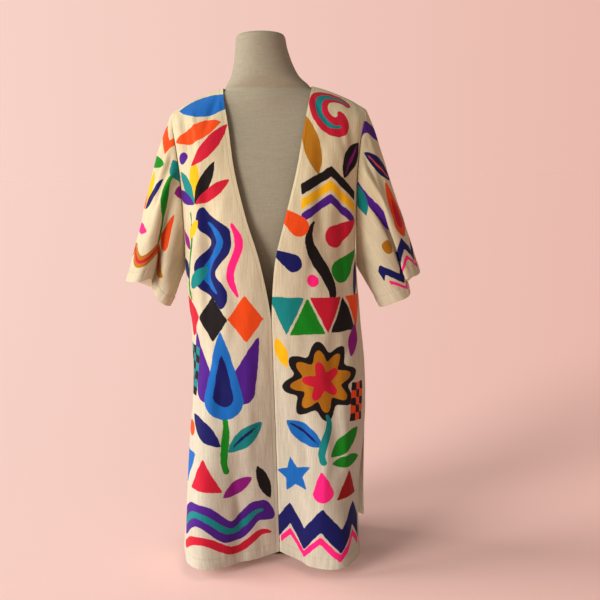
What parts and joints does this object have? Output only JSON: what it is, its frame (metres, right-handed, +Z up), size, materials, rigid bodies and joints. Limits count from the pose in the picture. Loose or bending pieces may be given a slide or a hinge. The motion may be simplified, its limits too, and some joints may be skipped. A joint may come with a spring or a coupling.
{
  "type": "hand-painted jacket on a dress form",
  "caption": "Long open-front canvas jacket with wide elbow sleeves, side slits and bright painted shapes, hanging on a limbless dress form with a stand.",
  "frame": {"origin": "on the floor, on the flat underside of the stand's base, under the middle of the neck", "axes": "+Z up, -Y towards the viewer in front of the jacket, +X to the jacket's left side as worn"},
  "size_m": [0.621, 0.3065, 1.109],
  "materials": {
    "canvas": "matte slubbed natural cotton with flat fabric paint",
    "linen": "matte plain-weave linen cover",
    "steel": "satin black powder coat"
  },
  "bodies": {
    "root": {"left_front": "canvas", "right_front": "canvas", "back": "canvas", "left_sleeve": "canvas", "right_sleeve": "canvas", "dress_form": "linen", "stand_pole": "steel", "stand_base": "steel"}
  },
  "joints": []
}
